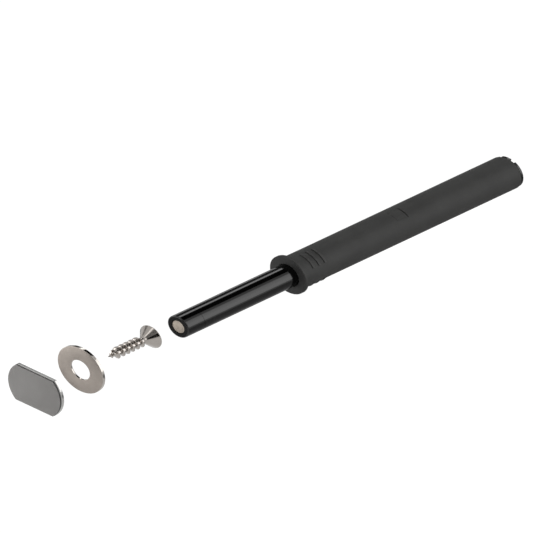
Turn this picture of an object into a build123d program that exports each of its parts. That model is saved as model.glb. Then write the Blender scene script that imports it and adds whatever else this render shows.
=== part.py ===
from build123d import *
import os
from math import atan2, cos, degrees, pi, radians, sin, sqrt

# Push to open catch, long stroke, for a drilled hole, with its two strikes and their screw
# Millimetres. +X points out of the hole towards the door, +Z is up.
# The origin is on the axis, where the back of the flange meets the cabinet edge.

# Housing
body_d = 10.0
flange_d = 12.0
flange_t = 0.8
flange_edge = 0.15
housing_len = 70.8
housing_wall = 0.7
rear_round = 0.5
mouth_d = 7.2
mouth_depth = 0.6
guide_len = 24.0

# Barbs that bite into the wood, in sets round the body
barb_sets = 3
barbs_in_set = 3
first_barb = 3.15
barb_pitch = 1.9
barb_height = 0.22
barb_ramp = 1.6
barb_span = 62.0
barb_wedge = 0.05
barb_angle = 62.0

# Snap window in the side of the housing
window_from = 32.0
window_len = 3.5
window_w = 3.7

# Direction of the window and the latch track; angles run from +Y towards +Z
key_angle = 73.0

# Plunger
plunger_d = 6.9
plunger_bore_d = 5.0
travel = 35.8
tip_proud = 0.1
collar_len = 2.0
rear_rim_len = 1.4
rear_rim_chamfer = 0.3
ring_seat_d = 5.8

# Magnet holder and magnet in the plunger's tip
holder_len = 5.5
holder_plug_len = 2.6
tip_round = 0.3
seam_chamfer = 0.08
magnet_d = 4.1
magnet_len = 4.9
magnet_recess = 0.15
magnet_edge = 0.12

# Latch ring and its lug
ring_w = 2.0
ring_mouth = 80.0
lug_d = 1.0
lug_turn = 24.0

# Latch track: a trough in the housing with a heart shaped groove
track_w = 5.0
groove_depth = 0.45
park_back = 2.0

# End cap with the spring's guide rod
cap_d = 9.6
cap_t = 0.7
cap_edge = 0.15
plug_len = 3.2
plug_wall = 0.9
plug_floor = 0.8
rod_d = 3.1
rod_len = 30.0
rod_chamfer = 0.6
slot_w = 1.4
slot_depth = 0.85
slot_angles = (72.0, 122.0, 252.0, 302.0)
bead_height = 0.15
bead_w = 0.6
bead_from_rim = 1.4

# Spring
wire_d = 0.5
spring_d = 4.5
spring_coils = 20
wire_sides = 4
runs_per_coil = 12

# Strikes for the door, and the gaps at which the kit is laid out
washer_d = 14.8
washer_hole_d = 6.2
washer_t = 0.8
washer_edge = 0.06
countersink_depth = 0.4
plate_d = 17.2
plate_flats = 12.2
plate_t = 0.9
plate_edge = 0.1
pad_t = 0.4
pad_inset = 0.05
screw_gap = 8.77
washer_gap = 8.13
plate_gap = 13.8

# Heights at which the loose pieces lie above the catch's axis
door_lift = 1.05
plate_lift = 1.4

# Strike screw
screw_len = 14.2
screw_d = 3.5
screw_core_d = 2.0
screw_head_d = 7.1
screw_land = 0.1
screw_neck_len = 0.4
screw_point_len = 2.9
recess_w = 0.85
recess_span = 3.8
recess_depth = 1.6

# Clearances
run_gap = 0.05
seat_gap = 0.05
press_gap = 0.02
stop_gap = 0.05
side_gap = 0.1
lug_gap = 0.15
window_gap = 0.25

# Radii and stations along the axis that the pieces share
body_r = body_d / 2
bore_r = body_r - housing_wall
plunger_r = plunger_d / 2
spring_bore_r = plunger_bore_d / 2
rear_x = -housing_len
shoulder_x = -guide_len
barbs_end_x = -first_barb - (barbs_in_set - 1) * barb_pitch - barb_ramp
tip_x = flange_t + travel + tip_proud
collar_x = shoulder_x - stop_gap
ring_seat_x = collar_x - collar_len
ring_seat_len = ring_w + 2 * seat_gap
rim_x = ring_seat_x - ring_seat_len
plunger_rear = rim_x - rear_rim_len
lug_x = ring_seat_x - ring_seat_len / 2
seam_x = tip_x - holder_len
spring_front = seam_x - holder_plug_len
spring_rear = rear_x + plug_floor
plug_front = rear_x + plug_len
track_in_r = plunger_r + run_gap
track_out_r = bore_r - seat_gap
groove_r = track_in_r + groove_depth
lug_tip_r = groove_r - seat_gap
lane_w = lug_d + 2 * lug_gap
lane_swing = (track_in_r + lug_tip_r) / 2 * sin(radians(lug_turn))
screw_head_x = tip_x + screw_gap
washer_x = screw_head_x + screw_len + washer_gap
plate_x = washer_x + washer_t + plate_gap


def turned(*points):
    """Solid turned about the catch's axis from (x, radius) points."""
    return revolve(make_face(Polyline(*points, close=True)), Axis.X)


def tube(x_low, x_high, r_out, r_in=0.0):
    """Plain round tube, or a bar where the inner radius is nothing."""
    return turned((x_low, r_in), (x_high, r_in), (x_high, r_out), (x_low, r_out))


def sector(points, span):
    """Part turn of an (x, radius) outline, centred on the +Z side."""
    arc = revolve(make_face(Polyline(*points, close=True)), Axis.X, span)
    return about_axis(arc, 90 - span / 2)


def block(x_low, x_high, width, z_low, z_high):
    """Box centred on the axis from side to side."""
    size = Box(x_high - x_low, width, z_high - z_low)
    return Pos((x_low + x_high) / 2, 0, (z_low + z_high) / 2) * size


def about_axis(shape, angle):
    """Shape turned about the catch's axis, from +Y towards +Z."""
    return Rot(X=angle) * shape


def flat_face(corners):
    return Face(Wire.make_polygon(corners, close=True))


def order_round(vertices, middle, along):
    """Corners of a wire's section in their order round its middle."""
    points = [Vector(*v) for v in vertices]
    side = (points[0] - middle).normalized()
    other = along.cross(side)
    return sorted(points, key=lambda p: atan2((p - middle).dot(other), (p - middle).dot(side)))


def round_edges(shape, x, radius):
    """Circular edges of a turned shape at one station and radius."""
    found = []
    for edge in shape.edges().filter_by(GeomType.CIRCLE):
        if abs(edge.arc_center.X - x) < 0.001 and abs(edge.radius - radius) < 0.001:
            found.append(edge)
    return found


# Housing: one moulding with a flange, a guide bore, a wide bore, barbs and the snap window
def barb(step_x):
    """Saw tooth arc, steep towards the flange and ramped towards the rear."""
    foot_r = body_r - barb_height
    top_r = body_r + barb_height
    return sector([(step_x, foot_r), (step_x, top_r), (step_x - barb_ramp, foot_r)], barb_span)


def housing():
    """The body swells slightly under the barbs, so that it wedges in the mouth of the hole."""
    floor_x = flange_t - mouth_depth
    shell = turned(
        (rear_x, bore_r),
        (shoulder_x, bore_r),
        (shoulder_x, plunger_r + run_gap),
        (floor_x, plunger_r + run_gap),
        (floor_x, mouth_d / 2),
        (flange_t, mouth_d / 2),
        (flange_t, flange_d / 2),
        (0, flange_d / 2),
        (0, body_r + barb_wedge),
        (barbs_end_x, body_r),
        (rear_x, body_r),
    )
    rear_fillet = min(rear_round, 0.8 * housing_wall)
    shell = fillet(round_edges(shell, rear_x, body_r), rear_fillet)
    shell = chamfer(round_edges(shell, flange_t, flange_d / 2), flange_edge)
    bead_x = rear_x + bead_from_rim
    half = bead_w / 2 + seat_gap
    shell -= tube(bead_x - half, bead_x + half, bore_r + bead_height + seat_gap)
    for turn in range(barb_sets):
        for number in range(barbs_in_set):
            tooth = barb(-first_barb - number * barb_pitch)
            shell += about_axis(tooth, barb_angle - key_angle + turn * 360 / barb_sets)
    shell -= block(-window_from - window_len, -window_from, window_w, 0, flange_d)
    return shell


# Latch track: a moulded trough that snaps into the window, with the groove on its inner side
def lane(side):
    """Straight lane of the groove, drawn from above, that swings to one side on the way in."""
    end_y = side * lane_swing
    length = sqrt(travel ** 2 + end_y ** 2)
    turn = degrees(atan2(end_y, -travel))
    middle = Pos(lug_x - travel / 2, end_y / 2)
    return middle * Rot(Z=turn) * SlotCenterToCenter(length, lane_w)


def groove_outline():
    """Way in, way out, the chamber at the deep end and the notch where the lug parks."""
    deep_x = lug_x - travel
    chamber = Pos(deep_x, 0) * Rot(Z=90) * SlotCenterToCenter(2 * lane_swing, lane_w)
    notch = Pos(deep_x + park_back / 2, 0) * SlotCenterToCenter(park_back, lane_w)
    return lane(1) + lane(-1) + chamber + notch


def latch_track():
    trough = tube(plug_front, shoulder_x - seat_gap, track_out_r, track_in_r)
    trough &= block(plug_front, shoulder_x, track_w, 0, body_r)
    tooth_rear = -window_from - window_len + window_gap
    tooth_front = -window_from - seat_gap
    tooth = tube(tooth_rear, tooth_front, body_r, (track_in_r + track_out_r) / 2)
    trough += tooth & block(tooth_rear, tooth_front, window_w - 2 * seat_gap, 0, body_r)
    groove = extrude(groove_outline(), body_r)
    return trough - (groove & tube(rear_x, 0, groove_r))


# End cap: black moulding with snap fingers, a cup for the spring and its guide rod
def end_cap():
    plug_r = bore_r - seat_gap
    cap = turned(
        (rear_x - cap_t, 0),
        (rear_x - cap_t, cap_d / 2),
        (rear_x, cap_d / 2),
        (rear_x, plug_r),
        (plug_front, plug_r),
        (plug_front, plug_r - plug_wall),
        (spring_rear, plug_r - plug_wall),
        (spring_rear, rod_d / 2),
        (spring_rear + rod_len - rod_chamfer, rod_d / 2),
        (spring_rear + rod_len, rod_d / 2 - rod_chamfer),
        (spring_rear + rod_len, 0),
    )
    cap = chamfer(round_edges(cap, rear_x - cap_t, cap_d / 2), cap_edge)
    bead_x = rear_x + bead_from_rim
    cap += turned(
        (bead_x - bead_w / 2, plug_r - plug_wall / 2),
        (bead_x - bead_w / 2, plug_r),
        (bead_x - bead_w / 4, bore_r + bead_height),
        (bead_x, bore_r + bead_height),
        (bead_x + bead_w / 2, plug_r),
        (bead_x + bead_w / 2, plug_r - plug_wall / 2),
    )
    for angle in slot_angles:
        slot = block(rear_x - cap_t, plug_front, slot_w, cap_d / 2 - slot_depth, cap_d)
        cap -= about_axis(slot, angle - 90)
    return cap


# Plunger: black tube with a stop collar, a seat for the latch ring and a bore for the spring
def plunger():
    collar_r = bore_r - run_gap
    shaft = turned(
        (plunger_rear, spring_bore_r),
        (seam_x, spring_bore_r),
        (seam_x, plunger_r),
        (collar_x, plunger_r),
        (collar_x, collar_r),
        (ring_seat_x, collar_r),
        (ring_seat_x, ring_seat_d / 2),
        (rim_x, ring_seat_d / 2),
        (rim_x, plunger_r),
        (plunger_rear + rear_rim_chamfer, plunger_r),
        (plunger_rear, plunger_r - rear_rim_chamfer),
    )
    way = block(ring_seat_x, collar_x, track_w + 2 * side_gap, 0, body_r)
    return shaft - (way - tube(ring_seat_x, collar_x, plunger_r))


# Magnet holder: the plunger's tip, a cup pressed into the tube
def magnet_holder():
    pocket_r = magnet_d / 2 + press_gap
    pocket_x = tip_x - magnet_recess - magnet_len
    cup = turned(
        (spring_front, 0),
        (spring_front, spring_bore_r - press_gap),
        (seam_x, spring_bore_r - press_gap),
        (seam_x, plunger_r - seam_chamfer),
        (seam_x + seam_chamfer, plunger_r),
        (tip_x, plunger_r),
        (tip_x, pocket_r),
        (pocket_x, pocket_r),
        (pocket_x, 0),
    )
    return fillet(round_edges(cup, tip_x, plunger_r), tip_round)


def magnet():
    face_x = tip_x - magnet_recess
    bar = tube(face_x - magnet_len, face_x, magnet_d / 2)
    return chamfer(round_edges(bar, face_x, magnet_d / 2), magnet_edge)


# Latch ring: split ring clipped on the plunger, with the lug that follows the groove
def latch_ring():
    low_x = lug_x - ring_w / 2
    high_x = lug_x + ring_w / 2
    inner_r = ring_seat_d / 2 + seat_gap
    outline = [(low_x, inner_r), (high_x, inner_r), (high_x, plunger_r), (low_x, plunger_r)]
    ring = sector(outline, 360 - ring_mouth)
    stem_len = body_r - inner_r
    stem = Pos(lug_x, 0, inner_r + stem_len / 2) * Cylinder(lug_d / 2, stem_len)
    return ring + (stem & tube(low_x, high_x, lug_tip_r, inner_r))


# Spring between the magnet holder and the cup of the end cap. Its wire has four sides and runs straight
# between mitred corners, which keeps its facets few.
def spring():
    coil_r = (spring_d - wire_d) / 2
    low_x = spring_rear + wire_d / 2
    length = spring_front - spring_rear - wire_d
    corners = []
    for number in range(spring_coils * runs_per_coil + 1):
        turn = 2 * pi * number / runs_per_coil
        x = low_x + length * number / (spring_coils * runs_per_coil)
        corners.append(Vector(x, coil_r * cos(turn), coil_r * sin(turn)))
    runs = [(after - before).normalized() for before, after in zip(corners, corners[1:])]
    first = Plane(origin=corners[0], z_dir=runs[0])
    section = first * RegularPolygon(wire_d / 2, wire_sides)
    rings = [order_round(section.vertices(), corners[0], runs[0])]
    for number, run in enumerate(runs):
        mitre = run + runs[min(number + 1, len(runs) - 1)]
        middle = corners[number + 1]
        rings.append([v + run * ((middle - v).dot(mitre) / run.dot(mitre)) for v in rings[-1]])
    faces = [flat_face(rings[0]), flat_face(rings[-1])]
    for ring, following in zip(rings, rings[1:]):
        for side in range(wire_sides):
            other = (side + 1) % wire_sides
            faces.append(flat_face([ring[side], ring[other], following[other], following[side]]))
    return Solid(Shell(faces))


# Strike screw: countersunk wood screw, its thread given by its outer diameter
def strike_screw():
    head_r = screw_head_d / 2
    core_r = screw_core_d / 2
    thread_r = screw_d / 2
    cone_x = screw_head_x + screw_land + head_r - core_r
    thread_x = cone_x + screw_neck_len
    end_x = screw_head_x + screw_len
    screw = turned(
        (screw_head_x, 0),
        (screw_head_x, head_r),
        (screw_head_x + screw_land, head_r),
        (cone_x, core_r),
        (thread_x, core_r),
        (thread_x + thread_r - core_r, thread_r),
        (end_x - screw_point_len, thread_r),
        (end_x, 0),
    )
    for angle in (0, 90):
        arm = block(screw_head_x, screw_head_x + recess_depth, recess_w, -recess_span / 2, recess_span / 2)
        screw -= about_axis(arm, angle)
    return Pos(0, 0, door_lift) * screw


# Washer strike: turned steel washer, countersunk on the side of the screw head
def strike_washer():
    hole_r = washer_hole_d / 2
    door_x = washer_x + washer_t
    ring = turned(
        (washer_x, hole_r + countersink_depth),
        (washer_x, washer_d / 2),
        (door_x, washer_d / 2),
        (door_x, hole_r),
        (washer_x + countersink_depth, hole_r),
    )
    rims = round_edges(ring, washer_x, washer_d / 2) + round_edges(ring, door_x, washer_d / 2)
    return Pos(0, 0, door_lift) * chamfer(rims, washer_edge)


# Self-adhesive strike: stamped steel disc with two flats, and its adhesive pad
def disc_with_flats(x_low, thickness, inset):
    outline = Circle(plate_d / 2 - inset)
    outline &= Rectangle(plate_flats - 2 * inset, plate_d)
    return Pos(x_low, 0, plate_lift) * Rot(Y=90) * extrude(outline, thickness)


def strike_plate():
    plate = disc_with_flats(plate_x, plate_t, 0)
    rims = plate.faces().sort_by(Axis.X)[0].edges() + plate.faces().sort_by(Axis.X)[-1].edges()
    return chamfer(rims, plate_edge)


def adhesive_pad():
    return disc_with_flats(plate_x + plate_t, pad_t, pad_inset)


def write_part(name, shape):
    """Write one named piece as a STEP file."""
    shape.label = name
    export_step(shape, os.path.join("parts", name + ".step"))


os.makedirs("parts", exist_ok=True)
key_turn = key_angle - 90
for keyed in (housing, latch_track, plunger, latch_ring):
    write_part(keyed.__name__, about_axis(keyed(), key_turn))
for plain in (end_cap, magnet_holder, magnet, spring, strike_screw, strike_washer, strike_plate, adhesive_pad):
    write_part(plain.__name__, plain())
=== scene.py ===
import math

import bmesh
import bpy
from mathutils import Matrix, Vector


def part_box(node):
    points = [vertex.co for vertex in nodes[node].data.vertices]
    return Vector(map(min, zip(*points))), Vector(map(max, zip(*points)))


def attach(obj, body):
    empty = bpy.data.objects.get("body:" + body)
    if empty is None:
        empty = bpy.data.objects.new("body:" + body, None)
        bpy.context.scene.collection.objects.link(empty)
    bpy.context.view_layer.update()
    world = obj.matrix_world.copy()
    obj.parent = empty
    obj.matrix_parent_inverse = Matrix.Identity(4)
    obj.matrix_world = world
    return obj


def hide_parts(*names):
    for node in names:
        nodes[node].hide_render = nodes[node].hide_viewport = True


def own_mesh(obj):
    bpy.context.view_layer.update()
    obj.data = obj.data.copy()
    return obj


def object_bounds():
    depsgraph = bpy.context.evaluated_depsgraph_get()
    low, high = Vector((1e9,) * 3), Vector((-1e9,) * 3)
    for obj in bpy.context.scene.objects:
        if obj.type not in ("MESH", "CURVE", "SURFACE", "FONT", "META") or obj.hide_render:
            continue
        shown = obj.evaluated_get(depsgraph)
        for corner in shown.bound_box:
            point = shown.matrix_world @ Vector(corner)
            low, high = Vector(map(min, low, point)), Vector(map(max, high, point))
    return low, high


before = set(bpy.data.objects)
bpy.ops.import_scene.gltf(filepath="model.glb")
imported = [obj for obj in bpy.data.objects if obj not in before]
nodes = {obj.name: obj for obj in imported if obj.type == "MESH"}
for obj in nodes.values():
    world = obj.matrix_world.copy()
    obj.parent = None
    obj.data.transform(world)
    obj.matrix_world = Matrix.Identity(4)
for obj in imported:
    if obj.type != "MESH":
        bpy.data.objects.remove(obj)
cad_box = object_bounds()


# Housing and latch track: the long tube that is pressed into the drilled hole, and the trough inside it
# whose tooth shows in the window. Both are injection moulded in dark grey nylon, and the steel of the
# mould was spark eroded, which leaves a fine even grain with no gloss.

def shade(tree, kind, inputs, **settings):
    """Adds one shader node. An input is a number, a colour or the output that feeds it."""
    node = tree.nodes.new("ShaderNode" + kind)
    for name, value in settings.items():
        setattr(node, name, value)
    for name, value in inputs.items():
        if isinstance(value, bpy.types.NodeSocket):
            tree.links.new(value, node.inputs[name])
        else:
            node.inputs[name].default_value = value
    return node


def effect(name, inputs, outputs):
    """Starts a node group that several finishes share. Returns it with its inner input and output nodes."""
    group = bpy.data.node_groups.new(name, "ShaderNodeTree")
    for label, value in inputs.items():
        socket = group.interface.new_socket(label, in_out="INPUT", socket_type="NodeSocketFloat")
        socket.default_value = value
    for label in outputs:
        group.interface.new_socket(label, in_out="OUTPUT", socket_type="NodeSocketFloat")
    return group, group.nodes.new("NodeGroupInput").outputs, group.nodes.new("NodeGroupOutput").inputs


def finish_material(name):
    """A new material with an empty tree, and its output node."""
    material = bpy.data.materials.new(name)
    material.use_nodes = True
    material.node_tree.nodes.clear()
    return material, material.node_tree, material.node_tree.nodes.new("ShaderNodeOutputMaterial")


def use_effect(tree, group, **inputs):
    """Puts a shared node group into a material and returns what it puts out."""
    node = tree.nodes.new("ShaderNodeGroup")
    node.node_tree = group
    for name, value in inputs.items():
        node.inputs[name.replace("_", " ")].default_value = value
    return node.outputs


spark_grain, given, made = effect("spark_grain", {"Grain Size": 0.00012}, ["Height", "Tone"])
place = shade(spark_grain, "TexCoord", {}).outputs["Object"]
per_grain = shade(spark_grain, "Math", {0: 1.0, 1: given["Grain Size"]}, operation="DIVIDE").outputs[0]
pits = shade(spark_grain, "TexNoise", {
    "Vector": place, "Scale": per_grain, "Detail": 3.0, "Roughness": 0.6,
})
wide = shade(spark_grain, "TexNoise", {"Vector": place, "Scale": 160.0, "Detail": 2.0})
spark_grain.links.new(pits.outputs["Fac"], made["Height"])
tone = shade(spark_grain, "Math", {0: pits.outputs["Fac"], 1: wide.outputs["Fac"]}, operation="MULTIPLY")
spark_grain.links.new(tone.outputs[0], made["Tone"])

housing_dark = (0.038, 0.038, 0.037, 1)
housing_light = (0.052, 0.052, 0.0505, 1)
housing_plastic, tree, surface = finish_material("housing_plastic")
grain = use_effect(tree, spark_grain, Grain_Size=0.00014)
shade_of = shade(tree, "MapRange", {"Value": grain["Tone"], "From Min": 0.12, "From Max": 0.4})
colour = shade(tree, "Mix", {
    "Factor": shade_of.outputs[0], "A": housing_dark, "B": housing_light,
}, data_type="RGBA")
dull = shade(tree, "MapRange", {"Value": grain["Height"], "To Min": 0.68, "To Max": 0.55})
relief = shade(tree, "Bump", {"Height": grain["Height"], "Strength": 0.35, "Distance": 0.00003})
plastic = shade(tree, "BsdfPrincipled", {
    "Base Color": colour.outputs["Result"],
    "Roughness": dull.outputs[0],
    "IOR": 1.33,
    "Normal": relief.outputs[0],
})
tree.links.new(plastic.outputs[0], surface.inputs["Surface"])
for name in ("housing", "latch_track"):
    nodes[name].material_slots[0].material = housing_plastic


# Plunger, magnet holder and end cap: black acetal from a mirror polished mould. The plunger slides in the
# housing and carries the holder pressed into its front, and the cap snaps into the housing's rear end.
# The gloss is nearly perfect, with a faint haze from handling and hair lines along the stroke.

handling_haze, given, made = effect("handling_haze", {"Size": 0.004, "Amount": 0.05}, ["Dulling"])
place = shade(handling_haze, "TexCoord", {}).outputs["Object"]
per_size = shade(handling_haze, "Math", {0: 1.0, 1: given["Size"]}, operation="DIVIDE").outputs[0]
cloud = shade(handling_haze, "TexNoise", {
    "Vector": place, "Scale": per_size, "Detail": 5.0, "Roughness": 0.65,
})
patch = shade(handling_haze, "MapRange", {"Value": cloud.outputs["Fac"], "From Min": 0.42, "From Max": 0.7})
haze = shade(handling_haze, "Math", {0: patch.outputs[0], 1: given["Amount"]}, operation="MULTIPLY")
handling_haze.links.new(haze.outputs[0], made["Dulling"])

gloss_black, tree, surface = finish_material("gloss_black_plastic")
haze = use_effect(tree, handling_haze, Size=0.003, Amount=0.06)
dull = shade(tree, "Math", {0: haze["Dulling"], 1: 0.085}, operation="ADD")
place = shade(tree, "TexCoord", {}).outputs["Object"]
stroke = shade(tree, "Mapping", {"Vector": place, "Scale": (60.0, 4000.0, 4000.0)})
lines = shade(tree, "TexNoise", {"Vector": stroke.outputs[0], "Scale": 1.0, "Detail": 2.0})
relief = shade(tree, "Bump", {"Height": lines.outputs["Fac"], "Strength": 0.05, "Distance": 0.00001})
tint = shade(tree, "MapRange", {"Value": lines.outputs["Fac"], "To Min": 0.0012, "To Max": 0.0022})
plastic = shade(tree, "BsdfPrincipled", {
    "Base Color": tint.outputs[0],
    "Roughness": dull.outputs[0],
    "IOR": 1.42,
    "Normal": relief.outputs[0],
})
tree.links.new(plastic.outputs[0], surface.inputs["Surface"])
for name in ("plunger", "magnet_holder", "end_cap"):
    nodes[name].material_slots[0].material = gloss_black


# Magnet: a sintered disc, barrelled and nickel plated, glued just below the rim of its holder. The plating
# is warm and satin, and the grain of the sintered metal still shows faintly through it.

plating_grain, given, made = effect("plating_grain", {"Size": 0.0003}, ["Height", "Tone"])
place = shade(plating_grain, "TexCoord", {}).outputs["Object"]
per_size = shade(plating_grain, "Math", {0: 1.0, 1: given["Size"]}, operation="DIVIDE").outputs[0]
cells = shade(plating_grain, "TexNoise", {
    "Vector": place, "Scale": per_size, "Detail": 4.0, "Roughness": 0.55,
})
plating_grain.links.new(cells.outputs["Fac"], made["Height"])
cloud = shade(plating_grain, "TexNoise", {"Vector": place, "Scale": 500.0, "Detail": 3.0})
plating_grain.links.new(cloud.outputs["Fac"], made["Tone"])


def plated_metal(name, dark, light, smooth, rough, relief_depth, grain_size):
    """A plated metal: two close tones in clouds, and a roughness that runs between smooth and rough."""
    material, tree, surface = finish_material(name)
    grain = use_effect(tree, plating_grain, Size=grain_size)
    haze = use_effect(tree, handling_haze, Size=0.002, Amount=rough - smooth)
    tone = shade(tree, "MapRange", {"Value": grain["Tone"], "From Min": 0.3, "From Max": 0.7})
    colour = shade(tree, "Mix", {"Factor": tone.outputs[0], "A": dark, "B": light}, data_type="RGBA")
    dull = shade(tree, "Math", {0: haze["Dulling"], 1: smooth}, operation="ADD")
    relief = shade(tree, "Bump", {"Height": grain["Height"], "Strength": 0.3, "Distance": relief_depth})
    metal = shade(tree, "BsdfPrincipled", {
        "Base Color": colour.outputs["Result"],
        "Metallic": 1.0,
        "Roughness": dull.outputs[0],
        "Normal": relief.outputs[0],
    })
    tree.links.new(metal.outputs[0], surface.inputs["Surface"])
    return material


nodes["magnet"].material_slots[0].material = plated_metal(
    "magnet_plating", dark=(0.41, 0.36, 0.305, 1), light=(0.475, 0.42, 0.355, 1),
    smooth=0.3, rough=0.42, relief_depth=0.00002, grain_size=0.0002)


# Latch ring: a split ring of natural acetal, clipped into a groove round the plunger's rear, so that it can
# turn while its lug follows the heart shaped groove. Matt and slightly waxy, off-white.

acetal, tree, surface = finish_material("natural_acetal")
grain = use_effect(tree, spark_grain, Grain_Size=0.0003)
colour = shade(tree, "Mix", {
    "Factor": grain["Tone"], "A": (0.70, 0.69, 0.64, 1), "B": (0.80, 0.79, 0.75, 1),
}, data_type="RGBA")
dull = shade(tree, "MapRange", {"Value": grain["Height"], "To Min": 0.34, "To Max": 0.46})
plastic = shade(tree, "BsdfPrincipled", {
    "Base Color": colour.outputs["Result"],
    "Roughness": dull.outputs[0],
    "IOR": 1.48,
    "Subsurface Weight": 0.15,
    "Subsurface Radius": (0.001, 0.001, 0.0008),
    "Subsurface Scale": 0.5,
})
tree.links.new(plastic.outputs[0], surface.inputs["Surface"])
nodes["latch_ring"].material_slots[0].material = acetal


# Spring: one compression spring of drawn steel wire with closed ends, in the plunger's bore and over the
# cap's guide rod. In the catch it is pressed shorter from its front end, on a fixed rear end, as the
# plunger goes in; here it is built at one length and rides with the housing.

spring_wire = 0.0005
spring_coils = 30
closed_coils = 1.5
steps_per_coil = 28
sides_of_wire = 8


def smooth_piece(name, bm):
    """Makes a smooth shaded object in the scene out of a mesh that was built face by face."""
    mesh = bpy.data.meshes.new(name)
    bm.to_mesh(mesh)
    bm.free()
    mesh.polygons.foreach_set("use_smooth", [True] * len(mesh.polygons))
    piece = bpy.data.objects.new(name, mesh)
    bpy.context.collection.objects.link(piece)
    return piece


def helix_mesh(name, centre_line, section):
    """Sweeps a closed section along a line round the X axis. Both ends are capped."""
    rings = []
    bm = bmesh.new()
    for x, radius, turn, size in centre_line:
        out = Vector((0, math.cos(turn), math.sin(turn)))
        corners = [(x + a * size, radius + b * size) for a, b in section]
        rings.append([bm.verts.new(Vector((along, 0, 0)) + out * away) for along, away in corners])
    for ring, following in zip(rings, rings[1:]):
        for k in range(len(section)):
            j = (k + 1) % len(section)
            bm.faces.new((ring[k], ring[j], following[j], following[k]))
    bm.faces.new(rings[0])
    bm.faces.new(rings[-1])
    bmesh.ops.recalc_face_normals(bm, faces=bm.faces)
    return smooth_piece(name, bm)


low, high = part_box("spring")
coil_radius = (high.z - low.z) / 2 - spring_wire / 2
open_coils = spring_coils - 2 * closed_coils
rise = (high.x - low.x - spring_wire - 2 * closed_coils * spring_wire) / open_coils
spring_line = []
for step in range(spring_coils * steps_per_coil + 1):
    coil = step / steps_per_coil
    in_start = min(coil, closed_coils)
    in_end = max(coil - (spring_coils - closed_coils), 0)
    x = low.x + spring_wire / 2 + (in_start + in_end) * spring_wire + (coil - in_start - in_end) * rise
    spring_line.append((x, coil_radius, coil * 2 * math.pi, spring_wire / 2))
wire_angles = [2 * math.pi * k / sides_of_wire for k in range(sides_of_wire)]
wire_section = [(math.cos(a), math.sin(a)) for a in wire_angles]
spring = helix_mesh("coil_spring", spring_line, wire_section)
spring.data.materials.append(plated_metal(
    "spring_steel", dark=(0.42, 0.41, 0.39, 1), light=(0.55, 0.54, 0.51, 1),
    smooth=0.22, rough=0.34, relief_depth=0.00001, grain_size=0.0004))
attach(spring, "housing")
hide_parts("spring")
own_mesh(spring)


# Strike screw: a countersunk wood screw with a cross recess, cold headed and thread rolled from steel wire
# and bright nickel plated. It holds the washer to the door. Its coarse thread stands high on a thin core,
# with straight flanks, and runs out on the point.

head_land = 0.0001
rim_round = 0.00006
core_radius = 0.0010
neck_round = 0.0006
point_length = 0.0027
shoulder_round = 0.0003
thread_pitch = 0.001565
thread_radius = 0.00171
thread_foot = 0.00062
thread_root = -0.0001
thread_crest = 0.00022
crest_drop = 0.00004
crest_from_head = 0.00386
cone_to_thread = 0.0003
thread_to_tip = 0.0006
run_in_turns = 0.3
size_at_start = 0.1
size_at_tip = 0.3
steps_per_turn = 40
recess_width = 0.00085
width_share_at_bottom = 0.8
width_share_above = 1.05
recess_span = 0.0038
span_share_at_bottom = 0.45
span_share_above = 1.12
recess_depth = 0.0016
punch_above_head = 0.0005
widest_smooth_bend = math.radians(28)
widest_smooth_bend_of_thread = math.radians(40)


def softened(corners, steps=4):
    """Rounds the corners of an outline. A corner is (x, radius, size of its round)."""
    points = []
    for k, (x, r, size) in enumerate(corners):
        here = Vector((x, r))
        if size == 0:
            points.append(here)
            continue
        before = Vector(corners[k - 1][:2])
        after = Vector(corners[(k + 1) % len(corners)][:2])
        start = here + (before - here).normalized() * size
        end = here + (after - here).normalized() * size
        for s in range(steps + 1):
            t = s / steps
            points.append(start * (1 - t) ** 2 + here * 2 * t * (1 - t) + end * t ** 2)
    return points


def turned_mesh(name, outline, closed, around=96):
    """Turns an outline of (x, radius) about the X axis. A closed outline makes a ring."""
    bm = bmesh.new()
    rows = []
    for x, r in outline:
        if r < 1e-7:
            rows.append([bm.verts.new((x, 0, 0))] * around)
            continue
        turns = [2 * math.pi * k / around for k in range(around)]
        rows.append([bm.verts.new((x, r * math.cos(a), r * math.sin(a))) for a in turns])
    for row, following in zip(rows, rows[1:] + (rows[:1] if closed else [])):
        for k in range(around):
            j = (k + 1) % around
            corners = list(dict.fromkeys((row[k], row[j], following[j], following[k])))
            if len(corners) > 2:
                bm.faces.new(corners)
    bmesh.ops.recalc_face_normals(bm, faces=bm.faces)
    piece = smooth_piece(name, bm)
    piece.data.set_sharp_from_angle(angle=widest_smooth_bend)
    return piece


low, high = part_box("strike_screw")
lift = (low.z + high.z) / 2
head_radius = high.y
cone_end = low.x + head_land + head_radius - core_radius
thread_start = cone_end + cone_to_thread
point_start = high.x - point_length
screw = turned_mesh("wood_screw", softened([
    (low.x, 0, 0),
    (low.x, head_radius, rim_round),
    (low.x + head_land, head_radius, rim_round),
    (cone_end, core_radius, neck_round),
    (point_start, core_radius, shoulder_round),
    (high.x, 0, 0),
]), closed=False)

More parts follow.
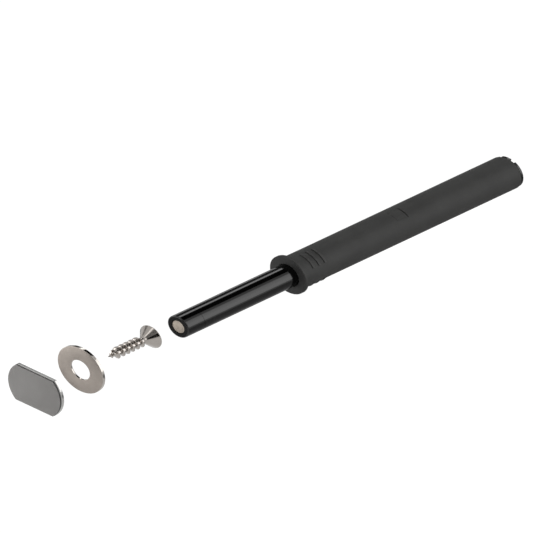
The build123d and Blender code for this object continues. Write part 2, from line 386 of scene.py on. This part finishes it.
thread_line = []
turns_in_all = (high.x - thread_to_tip - thread_start) / thread_pitch
first_turn = (thread_start - low.x - crest_from_head) / thread_pitch
for step in range(int(turns_in_all * steps_per_turn) + 1):
    x = thread_start + step / steps_per_turn * thread_pitch
    turn = (first_turn + step / steps_per_turn) * 2 * math.pi
    taper = min(1.0, (high.x - x) / (high.x - point_start))
    run_in = min(1.0, size_at_start + step / (run_in_turns * steps_per_turn))
    run_out = size_at_tip + (1 - size_at_tip) * taper
    thread_line.append((x, core_radius * taper, turn, run_in * run_out))
thread_height = thread_radius - core_radius
thread_section = [
    (-thread_foot / 2, thread_root),
    (-thread_crest / 2, thread_height - crest_drop),
    (-thread_crest / 4, thread_height),
    (thread_crest / 4, thread_height),
    (thread_crest / 2, thread_height - crest_drop),
    (thread_foot / 2, thread_root),
]
thread = helix_mesh("screw_thread", thread_line, thread_section)
thread.data.set_sharp_from_angle(angle=widest_smooth_bend_of_thread)

cutter = bmesh.new()
for turn in (0, math.pi / 2):
    arm = bmesh.ops.create_cube(cutter, size=1)["verts"]
    for v in arm:
        deep = v.co.x > 0
        v.co.x = low.x + (recess_depth if deep else -punch_above_head)
        v.co.y *= recess_span * (span_share_at_bottom if deep else span_share_above)
        v.co.z *= recess_width * (width_share_at_bottom if deep else width_share_above)
    bmesh.ops.rotate(cutter, verts=arm, cent=(0, 0, 0), matrix=Matrix.Rotation(turn, 3, "X"))
cross = bpy.data.objects.new("recess_punch", bpy.data.meshes.new("recess_punch"))
cutter.to_mesh(cross.data)
cutter.free()
bpy.context.collection.objects.link(cross)
punch = screw.modifiers.new("recess", "BOOLEAN")
punch.operation = "DIFFERENCE"
punch.solver = "EXACT"
punch.use_self = True
punch.object = cross
bpy.context.view_layer.update()
punched = bpy.data.meshes.new_from_object(screw.evaluated_get(bpy.context.evaluated_depsgraph_get()))
screw.modifiers.clear()
screw.data = punched
bpy.data.objects.remove(cross)
bright_nickel = plated_metal(
    "bright_nickel", dark=(0.31, 0.285, 0.265, 1), light=(0.355, 0.33, 0.305, 1),
    smooth=0.12, rough=0.18, relief_depth=0.00001, grain_size=0.0005)
for piece in (screw, thread):
    piece.location.z = lift
    piece.data.materials.clear()
    piece.data.materials.append(bright_nickel)
    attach(piece, "housing")
    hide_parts("strike_screw")


# Strike washer: turned from steel bar and nickel plated. Both faces are satin from the lathe, in fine
# rings, the rim is bright, and the hole is countersunk for the screw on the side that looks at the catch.

hole_radius = 0.0031
sink = 0.0004
sink_round = 0.00004
hole_round = 0.00005
washer_rim_round = 0.00007
seen_as_a_face = 0.95

low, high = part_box("strike_washer")
radius = (high.z - low.z) / 2
washer = turned_mesh("washer_strike", softened([
    (low.x, hole_radius + sink, sink_round),
    (low.x, radius, washer_rim_round),
    (high.x, radius, washer_rim_round),
    (high.x, hole_radius, hole_round),
    (low.x + sink, hole_radius, sink_round),
]), closed=True, around=144)
washer.location.z = (low.z + high.z) / 2

turned_face, tree, surface = finish_material("satin_nickel_face")
place = shade(tree, "TexCoord", {}).outputs["Object"]
axes = shade(tree, "SeparateXYZ", {"Vector": place}).outputs
flat = shade(tree, "CombineXYZ", {"X": axes["Y"], "Y": axes["Z"]})
from_axis = shade(tree, "VectorMath", {0: flat.outputs[0]}, operation="LENGTH").outputs["Value"]
rings = shade(tree, "TexNoise", {"W": from_axis, "Scale": 9000.0, "Detail": 3.0}, noise_dimensions="1D")
grain = use_effect(tree, plating_grain, Size=0.00025)
haze = use_effect(tree, handling_haze, Size=0.004, Amount=0.06)
tone = shade(tree, "Math", {0: grain["Tone"], 1: rings.outputs["Fac"]}, operation="MULTIPLY")
spread = shade(tree, "MapRange", {"Value": tone.outputs[0], "From Min": 0.12, "From Max": 0.42})
colour = shade(tree, "Mix", {
    "Factor": spread.outputs[0], "A": (0.29, 0.257, 0.23, 1), "B": (0.345, 0.307, 0.275, 1),
}, data_type="RGBA")
dull = shade(tree, "Math", {0: haze["Dulling"], 1: 0.34}, operation="ADD")
relief = shade(tree, "Bump", {"Height": rings.outputs["Fac"], "Strength": 0.25, "Distance": 0.00001})
metal = shade(tree, "BsdfPrincipled", {
    "Base Color": colour.outputs["Result"],
    "Metallic": 1.0,
    "Roughness": dull.outputs[0],
    "Normal": relief.outputs[0],
})
tree.links.new(metal.outputs[0], surface.inputs["Surface"])
washer.data.materials.append(turned_face)
washer.data.materials.append(plated_metal(
    "bright_rim_nickel", dark=(0.33, 0.31, 0.29, 1), light=(0.38, 0.355, 0.33, 1),
    smooth=0.1, rough=0.16, relief_depth=0.00001, grain_size=0.0005))
for face in washer.data.polygons:
    face.material_index = 0 if abs(face.normal.x) > seen_as_a_face else 1
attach(washer, "housing")
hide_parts("strike_washer")


# Strike plate and its adhesive pad: a disc with two flats, stamped from bright zinc plated steel, and the
# self-adhesive layer on the side that looks at the door, a thin grey foam cut slightly smaller. The flats
# of the plate are the matt edges of the shear. The rim of the foam is painted near black: painted shade
# for the dark step between the pad and the plate.

corner_round = 0.0004
plate_rim = 0.0001
pad_rim = 0.00008
seen_as_a_flat = 0.999
seen_as_foam = 0.9


def disc_with_flats(name, node, soft):
    """A disc with two flats, as large and as thick as its CAD node, with softened rims and corners."""
    low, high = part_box(node)
    radius = high.y
    flat_height = (high.z - low.z) / 2
    corner_z = flat_height - corner_round
    corner_y = math.sqrt((radius - corner_round) ** 2 - corner_z ** 2)
    end_angle = math.atan2(corner_z, corner_y)
    arc_steps = 48
    corner_steps = 6
    upper = []
    for k in range(corner_steps):
        a = math.pi / 2 + (end_angle - math.pi / 2) * k / corner_steps
        upper.append((corner_y + corner_round * math.cos(a), corner_z + corner_round * math.sin(a)))
    lower = [(y, -z) for y, z in upper]
    arc_angles = [end_angle * (2 * k / arc_steps - 1) for k in range(arc_steps + 1)]
    arc = [(radius * math.cos(a), radius * math.sin(a)) for a in arc_angles]
    right = lower + arc + upper[::-1]
    outline = right + [(-y, -z) for y, z in right]
    bm = bmesh.new()
    face = bm.faces.new([bm.verts.new((low.x, y, z)) for y, z in outline])
    grown = bmesh.ops.extrude_face_region(bm, geom=[face])["geom"]
    for v in (part for part in grown if isinstance(part, bmesh.types.BMVert)):
        v.co.x = high.x
    bmesh.ops.recalc_face_normals(bm, faces=bm.faces)
    rims = [e for e in bm.edges if abs(e.verts[0].co.x - e.verts[1].co.x) < 1e-7]
    bmesh.ops.bevel(bm, geom=rims, offset=soft, segments=3, profile=0.5, affect="EDGES", clamp_overlap=True)
    piece = smooth_piece(name, bm)
    piece.data.set_sharp_from_angle(angle=widest_smooth_bend)
    piece.location.z = (low.z + high.z) / 2
    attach(piece, "housing")
    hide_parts(node)
    return piece


plate = disc_with_flats("flat_sided_strike", "strike_plate", plate_rim)
plate.data.materials.append(plated_metal(
    "bright_zinc", dark=(0.31, 0.305, 0.30, 1), light=(0.36, 0.355, 0.345, 1),
    smooth=0.12, rough=0.2, relief_depth=0.00001, grain_size=0.0004))
plate.data.materials.append(plated_metal(
    "sheared_zinc", dark=(0.19, 0.19, 0.187, 1), light=(0.24, 0.24, 0.235, 1),
    smooth=0.34, rough=0.44, relief_depth=0.00002, grain_size=0.0003))
for face in plate.data.polygons:
    face.material_index = 1 if abs(face.normal.z) > seen_as_a_flat else 0


def soft_layer(name, dark, light, smooth, rough):
    """Foam or tape: two close tones in a fine grain, dull, with a shallow relief."""
    material, tree, surface = finish_material(name)
    grain = use_effect(tree, spark_grain, Grain_Size=0.00018)
    spread = shade(tree, "MapRange", {"Value": grain["Tone"], "From Min": 0.12, "From Max": 0.4})
    colour = shade(tree, "Mix", {"Factor": spread.outputs[0], "A": dark, "B": light}, data_type="RGBA")
    dull = shade(tree, "MapRange", {"Value": grain["Height"], "To Min": rough, "To Max": smooth})
    relief = shade(tree, "Bump", {"Height": grain["Height"], "Strength": 0.4, "Distance": 0.00003})
    layer = shade(tree, "BsdfPrincipled", {
        "Base Color": colour.outputs["Result"],
        "Roughness": dull.outputs[0],
        "IOR": 1.4,
        "Normal": relief.outputs[0],
    })
    tree.links.new(layer.outputs[0], surface.inputs["Surface"])
    return material


pad = disc_with_flats("adhesive_layer", "adhesive_pad", pad_rim)
pad.data.materials.append(soft_layer(
    "adhesive_foam", dark=(0.34, 0.33, 0.32, 1), light=(0.395, 0.385, 0.375, 1), smooth=0.7, rough=0.85))
# The second finish is painted shade: the foam's rim is coloured near black to stand for the shade in the
# step between pad and plate.
pad.data.materials.append(soft_layer(
    "foam_edge_painted_shade", dark=(0.02, 0.02, 0.019, 1), light=(0.032, 0.032, 0.03, 1), smooth=0.3, rough=0.45))
for face in pad.data.polygons:
    face.material_index = 0 if face.normal.x > seen_as_foam else 1


# Studio: a white paper floor in a white room, with five flat lamps round the row, and cards of dark, grey
# and white paper between them, which are what black gloss and bright metal show as their bands. Two more
# cards lie just above the floor and darken what hangs over it. The camera sees neither lamps nor cards.

towards_back = -1 / math.sqrt(3)


def seen_in_tube(angle):
    """Where the camera looks to in the mirror of a tube along X. The angle runs from +Y up to +Z."""
    a = math.radians(angle)
    r = math.sqrt(1 - towards_back ** 2)
    return Vector((towards_back, r * math.cos(a), r * math.sin(a)))


def face_the_row(obj, direction, distance, shift_across=0.0, shift_up=0.0):
    """Puts a lamp or card at a distance in one direction, facing the row, and slides it in its plane."""
    back = direction.normalized()
    across = (Vector((1, 0, 0)) - back * back.x).normalized()
    up = back.cross(across)
    place = back * distance + across * shift_across + up * shift_up
    obj.matrix_world = Matrix.Translation(place) @ Matrix((across, up, back)).transposed().to_4x4()


def soft_lamp(name, direction, distance, width, height, brightness, spread, shift_across=0.0, shift_up=0.0):
    """An area lamp. Brightness is what a mirror shows of it square on, where 1 is white paper."""
    lamp = bpy.data.lights.new(name, "AREA")
    lamp.shape = "RECTANGLE"
    lamp.size = width
    lamp.size_y = height
    lamp.spread = math.radians(spread)
    half = math.radians(spread / 2)
    focus = math.tan(half) / (math.tan(half) - half) if spread < 180 else 1.0
    lamp.energy = brightness * math.pi * width * height / focus
    obj = bpy.data.objects.new(name, lamp)
    bpy.context.collection.objects.link(obj)
    face_the_row(obj, direction, distance, shift_across, shift_up)
    obj.visible_camera = False


def card(name, width, height, colour):
    """A sheet of paper that shows in the pieces but not to the camera. Colour runs from 0, black, to 1."""
    x, y = width / 2, height / 2
    mesh = bpy.data.meshes.new(name)
    mesh.from_pydata([(-x, -y, 0), (x, -y, 0), (x, y, 0), (-x, y, 0)], [], [(0, 1, 2, 3)])
    obj = bpy.data.objects.new(name, mesh)
    bpy.context.collection.objects.link(obj)
    material, tree, surface = finish_material(name)
    paper = shade(tree, "BsdfDiffuse", {"Color": (colour, colour, colour, 1)})
    tree.links.new(paper.outputs[0], surface.inputs["Surface"])
    mesh.materials.append(material)
    obj.visible_camera = False
    return obj


soft_lamp("soft_box", seen_in_tube(20), distance=1.2, width=1.1, height=1.1,
          brightness=2.5, spread=113, shift_across=-0.3, shift_up=-0.13)
soft_lamp("key_lamp", Vector((0.45, 0.60, 0.66)), distance=1.2, width=0.6, height=0.6,
          brightness=1.5, spread=180)
soft_lamp("strip_lamp", seen_in_tube(129), distance=1.2, width=1.0, height=0.24,
          brightness=2.5, spread=180)
soft_lamp("front_lamp", Vector((0.70, -0.27, 0.66)), distance=1.2, width=0.9, height=0.20,
          brightness=1.35, spread=180)
soft_lamp("floor_lamp", Vector((0.68, -0.71, -0.19)), distance=0.17, width=0.092, height=0.05,
          brightness=2.9, spread=180, shift_across=0.026)

ceiling_card = card("ceiling_card", width=1.4, height=0.70, colour=0.01)
back_card = card("back_card", width=1.1, height=0.56, colour=0.22)
front_card = card("front_card", width=0.6, height=0.52, colour=0.01)
grey_front_card = card("grey_front_card", width=0.6, height=0.60, colour=0.62)
left_card = card("left_card", width=0.3, height=0.3, colour=0.8)
face_the_row(ceiling_card, seen_in_tube(98), distance=1.1)
face_the_row(back_card, seen_in_tube(158), distance=1.2)
face_the_row(front_card, Vector((0.812, 0.502, 0.297)), distance=1.1)
face_the_row(grey_front_card, Vector((0.79, 0.12, 0.60)), distance=1.15)
face_the_row(left_card, Vector((0.345, -0.893, 0.29)), distance=1.1)

low_card_drop = 0.030
flag_drop = 0.0395
floor_drop = 0.040
floor_half = 3.0
row_bottom = cad_box[0].z
low_card = card("low_card", width=0.35, height=0.42, colour=0.66)
low_card.location = (-0.153, -0.07, row_bottom - low_card_drop)
low_card.visible_shadow = False
flag = card("tip_flag", width=0.03, height=0.03, colour=0.45)
flag.location = (0.084, -0.047, row_bottom - flag_drop)
flag.visible_shadow = False

floor_z = row_bottom - floor_drop
floor_mesh = bpy.data.meshes.new("floor")
floor_mesh.from_pydata([(-floor_half, -floor_half, floor_z), (floor_half, -floor_half, floor_z),
                        (floor_half, floor_half, floor_z), (-floor_half, floor_half, floor_z)],
                       [], [(0, 1, 2, 3)])
floor = bpy.data.objects.new("floor", floor_mesh)
bpy.context.collection.objects.link(floor)


def white_to_the_eye(tree):
    """1 for a ray that shows the background to the camera, straight or in a mirror, and else 0."""
    seen = shade(tree, "LightPath", {}).outputs
    mirrored = shade(tree, "Math", {
        0: seen["Is Glossy Ray"], 1: seen["Is Transmission Ray"],
    }, operation="MAXIMUM")
    shown = shade(tree, "Math", {0: seen["Is Camera Ray"], 1: mirrored.outputs[0]}, operation="MAXIMUM")
    return shown.outputs[0]


glowing_share = 0.8
floor_white, tree, surface = finish_material("floor_white")
share = shade(tree, "Math", {0: white_to_the_eye(tree), 1: glowing_share}, operation="MULTIPLY")
paper = shade(tree, "BsdfDiffuse", {"Color": (0.8, 0.8, 0.8, 1)})
glow = shade(tree, "Emission", {"Color": (1, 1, 1, 1), "Strength": 1.2})
mixed = shade(tree, "MixShader", {0: share.outputs[0], 1: paper.outputs[0], 2: glow.outputs[0]})
tree.links.new(mixed.outputs[0], surface.inputs["Surface"])
floor_mesh.materials.append(floor_white)

world = bpy.data.worlds.new("studio")
world.use_nodes = True
world.node_tree.nodes.clear()
tree = world.node_tree
light_on_the_row = 0.37
level = shade(tree, "MapRange", {
    "Value": white_to_the_eye(tree), "To Min": light_on_the_row, "To Max": 1.0,
})
sky = shade(tree, "Background", {"Color": (1, 1, 1, 1), "Strength": level.outputs[0]})
tree.links.new(sky.outputs[0], shade(tree, "OutputWorld", {}).inputs["Surface"])
bpy.context.scene.world = world
bpy.context.scene.view_settings.view_transform = "Standard"


# Camera: it looks at the row as an isometric drawing does, through a parallel lens whose frame takes in the
# whole row from any side. The photograph is that view at its own scale, pressed to 0.814 of its height. So
# each axis of the picture leans back along the line of sight, which enlarges it and turns nothing.

photo_side = 533
flange_face = Vector((0.0008, 0, 0))
flange_pixel = (287.87, 275.37)
pixels_across = 4330.0
pixels_up = pixels_across * 0.814
frame_side = 0.170
distance = 1.0

to_camera = Vector((1, 1, 1)).normalized()
picture_right = Vector((-1, 1, 0)).normalized()
picture_up = to_camera.cross(picture_right)
centre = flange_face
centre = centre + picture_right * ((photo_side / 2 - flange_pixel[0]) / pixels_across)
centre = centre + picture_up * ((flange_pixel[1] - photo_side / 2) / pixels_up)


def leaning(axis, pixels_per_metre):
    """An axis of the picture, leaning back so far that the frame shows it at its scale in the photograph."""
    upright = photo_side / pixels_per_metre / frame_side
    return axis * upright - to_camera * math.sqrt(1 - upright ** 2)


camera = bpy.data.objects.new("camera", bpy.data.cameras.new("camera"))
camera.data.type = "ORTHO"
camera.data.ortho_scale = frame_side
camera.data.clip_start = 0.1
camera.data.clip_end = 20.0
tripod = bpy.data.objects.new("tripod", None)
bpy.context.collection.objects.link(camera)
bpy.context.collection.objects.link(tripod)
camera.parent = tripod
columns = (leaning(picture_right, pixels_across), leaning(picture_up, pixels_up), to_camera)
lean = Matrix(columns).transposed().to_4x4()
camera.matrix_parent_inverse = Matrix.Translation(centre + to_camera * distance) @ lean
bpy.context.scene.camera = camera

bpy.context.view_layer.update()
